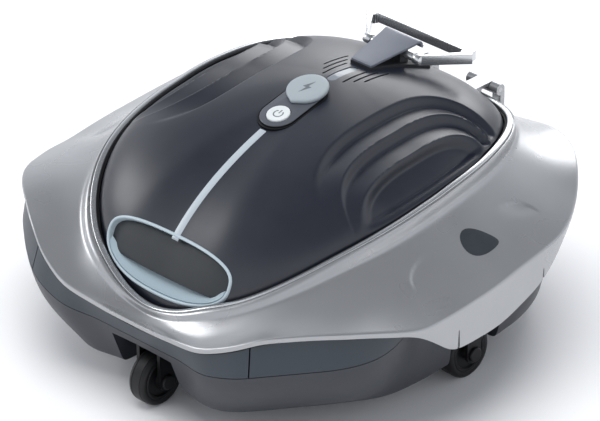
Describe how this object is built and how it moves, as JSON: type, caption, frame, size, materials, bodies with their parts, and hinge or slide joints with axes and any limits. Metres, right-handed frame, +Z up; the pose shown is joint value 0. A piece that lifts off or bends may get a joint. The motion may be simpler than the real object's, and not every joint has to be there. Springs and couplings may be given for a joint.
{
  "type": "cordless pool cleaning robot",
  "caption": "Low domed pool cleaning robot: silver winged shell, dark hinged cover with lifting ring, suction mouth, filter basket, pump, rear jets, swivelling caster and side wheels.",
  "frame": {"origin": "on the floor under the middle of the outline", "axes": "+Z up, -Y the front with the grip, +Y the rear with the jets and the lifting ring, +X the robot's left-hand side seen from the front"},
  "size_m": [0.3979, 0.3665, 0.2083],
  "materials": {
    "satin_silver": "satin, fine metallic",
    "bright_trim": "polished",
    "seal_rubber": "matt",
    "deck_plastic": "matt",
    "hull_plastic": "satin",
    "band_plastic": "satin",
    "dome_plastic": "satin gloss",
    "pale_plastic": "satin",
    "panel_plastic": "matt",
    "paddle_plastic": "satin",
    "plate_plastic": "satin",
    "light_bar": "frosted",
    "window_plastic": "gloss",
    "screen_fabric": "fine mesh",
    "button_plastic": "gloss",
    "cap_rubber": "soft matt",
    "socket_brass": "bright",
    "steel": "brushed",
    "clip_metal": "satin",
    "base_plastic": "matt",
    "mouth_plastic": "matt",
    "flap_rubber": "soft matt",
    "brush_bristle": "stiff bristle",
    "basket_plastic": "satin",
    "impeller_plastic": "satin",
    "pod_plastic": "satin",
    "motor_can": "satin",
    "cell_wrap": "shrink wrap",
    "board_green": "solder mask",
    "wheel_black": "satin",
    "tyre_rubber": "matt"
  },
  "bodies": {
    "base": {"silver_shell": "satin_silver", "rim_trim": "bright_trim", "rim_gasket": "seal_rubber", "inner_deck": "deck_plastic", "lower_hull": "hull_plastic", "hull_screws": "steel", "suction_mouth": "mouth_plastic", "brush_strips": "brush_bristle", "filter_basket": "basket_plastic", "filter_mesh": "screen_fabric", "filter_lid": "basket_plastic", "outlet_duct": "mouth_plastic", "jet_nozzles": "mouth_plastic", "jet_grilles": "mouth_plastic", "latch_keeper": "steel", "hinge_bracket": "deck_plastic", "hinge_pins": "steel", "front_bumper_band": "band_plastic", "rear_bumper_band": "band_plastic", "corner_bumper_panels": "band_plastic", "side_wheel_forks": "wheel_black", "side_axles": "steel"},
    "cover": {"dome_cover": "dome_plastic", "light_strip": "light_bar", "vent_window": "window_plastic", "vent_screen": "screen_fabric", "control_plate": "plate_plastic", "charge_socket": "socket_brass", "grip_frame": "pale_plastic", "grip_panel": "panel_plastic", "latch_magnet": "steel", "pod_body": "pod_plastic", "pod_gasket": "seal_rubber", "pod_lid": "pod_plastic", "battery_cells": "cell_wrap", "control_board": "board_green", "lift_clip": "clip_metal", "clip_base": "base_plastic", "hinge_leaf": "deck_plastic", "pump_volute": "mouth_plastic", "pump_motor": "motor_can", "shaft_seal": "seal_rubber", "eye_grille": "mouth_plastic"},
    "power_button": {"power_button": "button_plastic"},
    "charge_cap": {"charge_cap": "cap_rubber"},
    "release_paddle": {"release_paddle": "paddle_plastic"},
    "lift_ring": {"lift_ring": "bright_trim"},
    "impeller": {"impeller": "impeller_plastic", "motor_shaft": "steel"},
    "inlet_flap": {"inlet_flap": "flap_rubber"},
    "caster": {"caster_fork": "wheel_black", "caster_clip": "steel", "caster_axle": "steel"},
    "caster_wheel": {"caster_wheel_hub": "wheel_black", "caster_wheel_tyre": "tyre_rubber"},
    "right_wheel": {"right_wheel_hub": "wheel_black", "right_wheel_tyre": "tyre_rubber"},
    "left_wheel": {"left_wheel_hub": "wheel_black", "left_wheel_tyre": "tyre_rubber"}
  },
  "joints": [
    {"name": "cover_hinge", "type": "hinge", "parent": "base", "child": "cover", "pos_m": [0, 0.1655, 0.157], "axis": [-1, 0, 0], "range_deg": [0, 65]},
    {"name": "button_press", "type": "slide", "parent": "cover", "child": "power_button", "axis": [0, 0.2293, -0.9734], "range_m": [0, 0.0015], "stiffness_N_per_m": 400, "springref_m": -0.001},
    {"name": "charge_cap_hinge", "type": "hinge", "parent": "cover", "child": "charge_cap", "pos_m": [0, 0.01857, 0.20419], "axis": [-1, 0, 0], "range_deg": [0, 100]},
    {"name": "paddle_press", "type": "hinge", "parent": "cover", "child": "release_paddle", "pos_m": [0, -0.14309, 0.09542], "axis": [1, 0, 0], "range_deg": [0, 7], "stiffness_Nm_per_rad": 0.05, "springref_deg": -5.73},
    {"name": "ring_swing", "type": "hinge", "parent": "cover", "child": "lift_ring", "pos_m": [0, 0.098, 0.1995], "axis": [1, 0, 0], "range_deg": [0, 120]},
    {"name": "impeller_spin", "type": "hinge", "parent": "cover", "child": "impeller", "pos_m": [0, 0.03, 0.07], "axis": [0, 0, 1], "continuous": true},
    {"name": "inlet_flap_hinge", "type": "hinge", "parent": "base", "child": "inlet_flap", "pos_m": [0, -0.02175, 0.0356], "axis": [1, 0, 0], "range_deg": [0, 35]},
    {"name": "caster_swivel", "type": "hinge", "parent": "base", "child": "caster", "pos_m": [0, -0.158, 0.05], "axis": [0, 0, 1], "continuous": true},
    {"name": "caster_wheel_spin", "type": "hinge", "parent": "caster", "child": "caster_wheel", "pos_m": [0, -0.158, 0.0215], "axis": [1, 0, 0], "continuous": true},
    {"name": "right_wheel_spin", "type": "hinge", "parent": "base", "child": "right_wheel", "pos_m": [0.137, 0.029, 0.0215], "axis": [1, 0, 0], "continuous": true},
    {"name": "left_wheel_spin", "type": "hinge", "parent": "base", "child": "left_wheel", "pos_m": [-0.137, 0.029, 0.0215], "axis": [1, 0, 0], "continuous": true}
  ]
}
